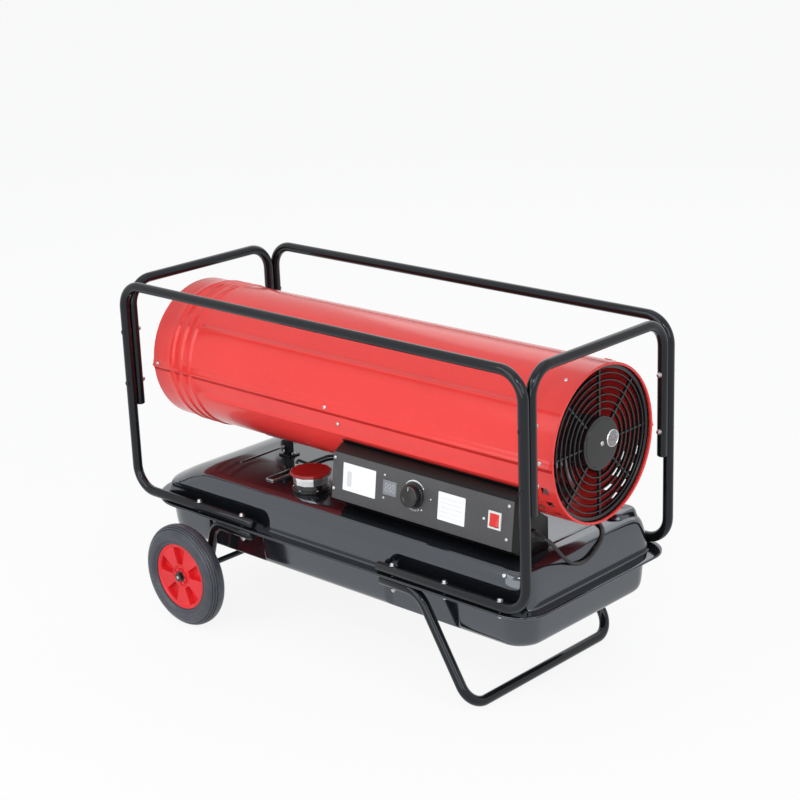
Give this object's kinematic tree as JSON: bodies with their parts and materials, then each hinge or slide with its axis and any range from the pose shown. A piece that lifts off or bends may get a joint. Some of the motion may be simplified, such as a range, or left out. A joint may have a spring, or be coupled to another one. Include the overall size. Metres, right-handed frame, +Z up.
{
  "type": "forced air heater",
  "caption": "Wheeled oil-fired forced air heater: red burner cylinder over a black fuel tank in a tube frame, with a control panel, fan guard, filler cap and mains lead.",
  "frame": {"origin": "On the floor, midway along and across the frame: the middle of the footprint.", "axes": "+X runs along the cylinder towards the air intake, -Y is the side with the control panel, +Z is up."},
  "size_m": [1.07, 0.5986, 0.683],
  "materials": {
    "frame_paint": "gloss black powder coat",
    "tank_paint": "gloss black paint",
    "body_paint": "gloss red paint",
    "tyre_rubber": "moulded, satin",
    "wheel_red": "satin red plastic",
    "nut_black": "satin",
    "axle_steel": "zinc plated",
    "drain_steel": "zinc plated",
    "neck_black": "gloss",
    "strainer_steel": "fine mesh",
    "gasket_rubber": "matte",
    "cap_chrome": "polished",
    "cap_red": "gloss dark red",
    "fuel_brass": "machined",
    "hose_black": "matte",
    "chamber_steel": "heat stained",
    "motor_paint": "satin black",
    "fan_aluminium": "pressed",
    "pump_aluminium": "cast",
    "pump_plastic": "satin",
    "gauge_chrome": "polished",
    "needle_red": "gloss",
    "guard_black": "satin",
    "panel_paint": "satin black",
    "knob_black": "gloss",
    "control_plastic": "satin",
    "switch_white": "gloss",
    "switch_red": "gloss, translucent look",
    "display_grey": "tinted window",
    "board_green": "coated board",
    "ceramic_white": "glazed",
    "gland_black": "matte",
    "cord_rubber": "matte",
    "plug_black": "matte"
  },
  "bodies": {
    "heater": {"side_frame_near": "frame_paint", "side_frame_far": "frame_paint", "outlet_hoop": "frame_paint", "inlet_hoop": "frame_paint", "support_leg": "frame_paint", "axle_carrier_near": "frame_paint", "axle_carrier_far": "frame_paint", "axle": "axle_steel", "hub_nut_near": "nut_black", "hub_nut_far": "nut_black", "tank_upper_shell": "tank_paint", "tank_lower_shell": "tank_paint", "drain_plug": "drain_steel", "filler_neck": "neck_black", "fuel_strainer": "strainer_steel", "fuel_pickup": "fuel_brass", "fuel_nozzle": "fuel_brass", "fuel_hose": "hose_black", "air_hose": "hose_black", "body_lower_shell": "body_paint", "body_upper_shell": "body_paint", "body_support_outlet": "frame_paint", "body_support_inlet": "frame_paint", "combustion_chamber": "chamber_steel", "outlet_cone": "chamber_steel", "chamber_spider_outlet": "chamber_steel", "chamber_spider_burner": "chamber_steel", "burner_head": "chamber_steel", "motor_cradle": "chamber_steel", "spark_plug": "ceramic_white", "flame_sensor": "control_plastic", "thermostat": "control_plastic", "ignition_transformer": "control_plastic", "fan_motor": "motor_paint", "pump_body": "pump_aluminium", "pump_cover": "pump_plastic", "pressure_gauge": "gauge_chrome", "fan_guard": "guard_black", "control_box": "panel_paint", "control_panel": "panel_paint", "switch_housing": "switch_white", "room_display": "display_grey", "circuit_board": "board_green", "cord_gland": "gland_black", "cord_run": "cord_rubber", "cord_coil": "cord_rubber", "cord_plug": "plug_black"},
    "fan_rotor": {"fan": "fan_aluminium", "motor_shaft": "axle_steel", "pump_rotor": "axle_steel"},
    "wheel_near": {"tyre_near": "tyre_rubber", "wheel_hub_near": "wheel_red"},
    "wheel_far": {"tyre_far": "tyre_rubber", "wheel_hub_far": "wheel_red"},
    "knob": {"thermostat_knob": "knob_black"},
    "rocker": {"switch_rocker": "switch_red"},
    "cap_seal": {"cap_gasket": "gasket_rubber"},
    "cap": {"fuel_cap": "cap_chrome", "fuel_cap_top": "cap_red"},
    "needle": {"gauge_needle": "needle_red"}
  },
  "joints": [
    {"name": "fan_spin", "type": "hinge", "parent": "heater", "child": "fan_rotor", "pos_m": [0.29, 0, 0.491], "axis": [1, 0, 0], "continuous": true},
    {"name": "wheel_near_spin", "type": "hinge", "parent": "heater", "child": "wheel_near", "pos_m": [-0.318, -0.277, 0.107], "axis": [0, 1, 0], "continuous": true},
    {"name": "wheel_far_spin", "type": "hinge", "parent": "heater", "child": "wheel_far", "pos_m": [-0.318, 0.277, 0.107], "axis": [0, 1, 0], "continuous": true},
    {"name": "knob_turn", "type": "hinge", "parent": "heater", "child": "knob", "pos_m": [0.226, -0.16833, 0.37256], "axis": [0, -0.9914, 0.1307], "range_deg": [-135, 135]},
    {"name": "rocker_tilt", "type": "hinge", "parent": "heater", "child": "rocker", "pos_m": [0.4205, -0.16562, 0.37019], "axis": [1, 0, 0], "range_deg": [0, 16]},
    {"name": "cap_lift", "type": "slide", "parent": "heater", "child": "cap_seal", "axis": [0, 0, 1], "range_m": [0, 0.01]},
    {"name": "cap_turn", "type": "hinge", "parent": "cap_seal", "child": "cap", "pos_m": [-0.1, -0.117, 0.31], "axis": [0, 0, 1], "range_deg": [0, 720]},
    {"name": "needle_turn", "type": "hinge", "parent": "heater", "child": "needle", "pos_m": [0.53, 0.031, 0.493], "axis": [1, 0, 0], "range_deg": [-270, 0]}
  ],
  "couplings": [
    {"joint": "cap_lift", "follows": "cap_turn", "m_per_rad": 0.00079577}
  ]
}
